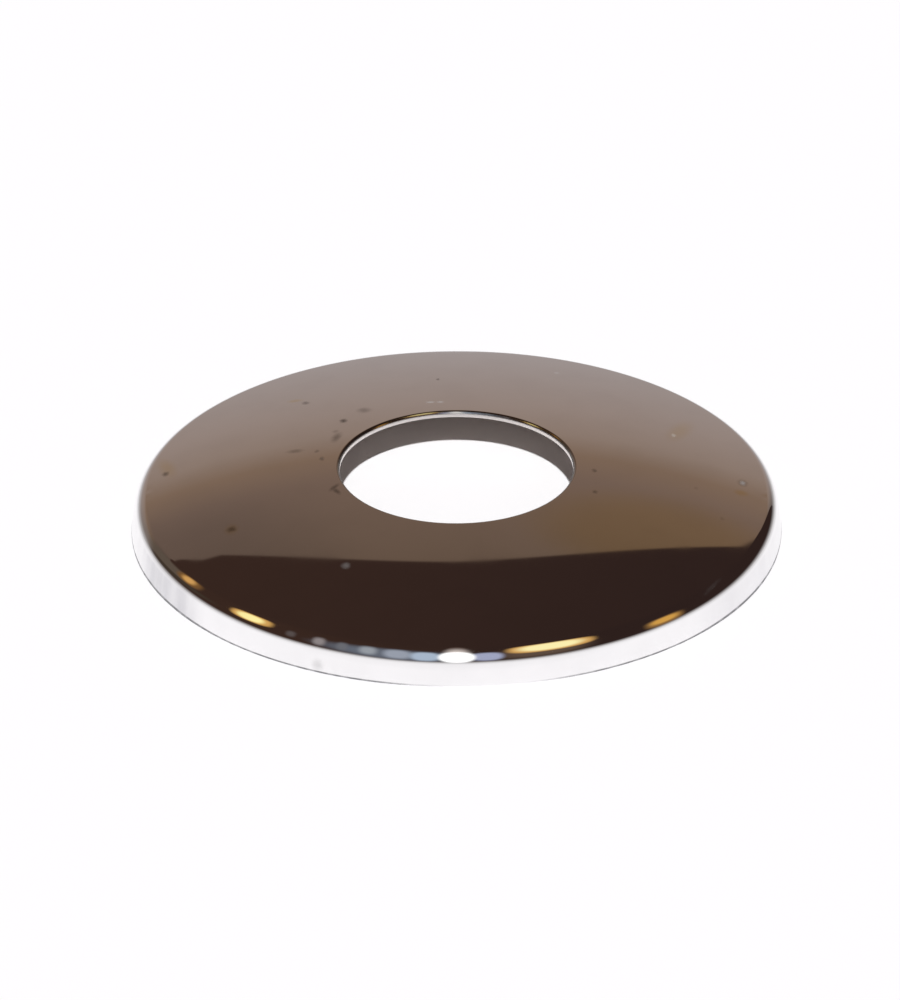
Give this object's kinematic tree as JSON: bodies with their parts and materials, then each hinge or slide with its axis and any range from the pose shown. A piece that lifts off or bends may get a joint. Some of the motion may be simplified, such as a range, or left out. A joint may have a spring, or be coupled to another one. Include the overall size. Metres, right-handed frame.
{
  "type": "tap rosette",
  "caption": "Round pressed cover plate with a shallow dome, a plain punched centre hole and a rolled, slightly flared rim, for hiding the wall hole round a tap's pipe.",
  "frame": {"origin": "centre of the ring on which the rim's foot stands, on the rosette's axis", "axes": "+Z along the axis of the hole, away from the wall; the rosette is round about it, so X and Y are free"},
  "size_m": [0.06, 0.06, 0.0063],
  "materials": {
    "plated_sheet": "polished bright chrome plate on pressed brass sheet, with a few pits and dust specks"
  },
  "bodies": {
    "root": {"rosette": "plated_sheet"}
  },
  "joints": []
}
